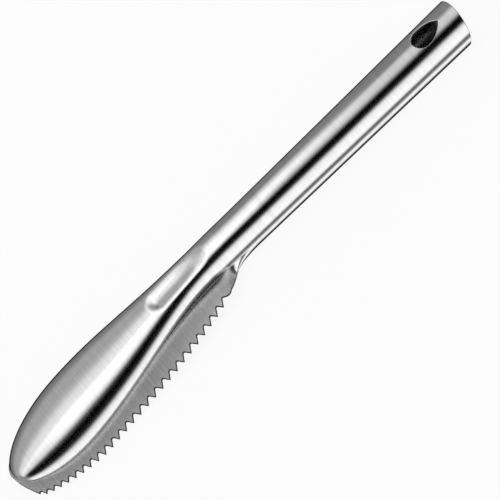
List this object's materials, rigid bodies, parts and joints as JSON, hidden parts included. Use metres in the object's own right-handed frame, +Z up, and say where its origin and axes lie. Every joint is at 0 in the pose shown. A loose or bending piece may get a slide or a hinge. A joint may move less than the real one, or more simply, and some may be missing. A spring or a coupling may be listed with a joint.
{
  "type": "fish scaler",
  "caption": "Pressed steel fish scaler: hollow domed head with a toothed side flange and a thumb groove, running into a rolled tube handle with a hanging hole.",
  "frame": {"origin": "centre of the bounding box at its lowest face, on the surface that the tool lies on", "axes": "+X along the handle from the nose of the head to the handle end, +Y from the toothed side towards the plain side, +Z up; the tool lies on the underside of its handle and on its teeth"},
  "size_m": [0.2346, 0.0404, 0.0189],
  "materials": {
    "steel": "stainless steel, polished and then brushed finely across the tool"
  },
  "bodies": {
    "root": {"scaler": "steel"}
  },
  "joints": []
}
